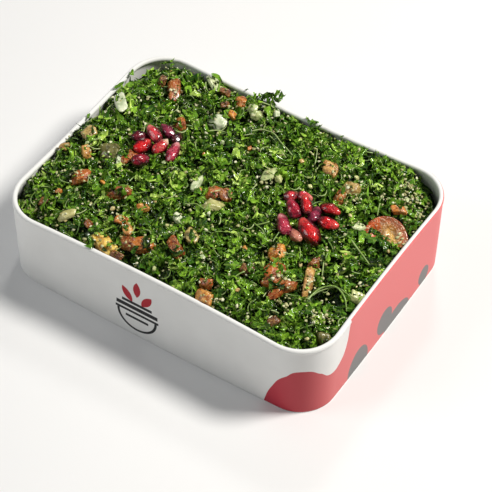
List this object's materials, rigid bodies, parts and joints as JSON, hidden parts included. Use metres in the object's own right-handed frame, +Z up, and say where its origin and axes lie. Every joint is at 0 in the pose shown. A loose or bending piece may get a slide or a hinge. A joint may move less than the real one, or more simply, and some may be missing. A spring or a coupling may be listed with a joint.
{
  "type": "tabbouleh salad in a paper bowl",
  "caption": "Chopped herb and grain salad heaped in a low rectangular paper bowl with a rolled rim, topped with pomegranate arils and a tomato wedge.",
  "frame": {"origin": "middle of the bowl's base, on the surface that it rests on", "axes": "+X along the bowl's long side, +Y towards its back long side, +Z up"},
  "size_m": [0.179, 0.1336, 0.0554],
  "materials": {
    "white_paper": "coated white board, soft sheen",
    "chopped_salad": "moist chopped leaves",
    "pomegranate": "wet, glossy and juicy",
    "tomato": "moist cut flesh with smooth skin"
  },
  "bodies": {
    "root": {"bowl": "white_paper", "salad": "chopped_salad", "tomato_wedge": "tomato", "aril_01": "pomegranate", "aril_02": "pomegranate", "aril_03": "pomegranate", "aril_04": "pomegranate", "aril_05": "pomegranate", "aril_06": "pomegranate", "aril_07": "pomegranate", "aril_08": "pomegranate", "aril_09": "pomegranate", "aril_10": "pomegranate", "aril_11": "pomegranate", "aril_12": "pomegranate", "aril_13": "pomegranate", "aril_14": "pomegranate", "aril_15": "pomegranate", "aril_16": "pomegranate", "aril_17": "pomegranate", "aril_18": "pomegranate"}
  },
  "joints": []
}
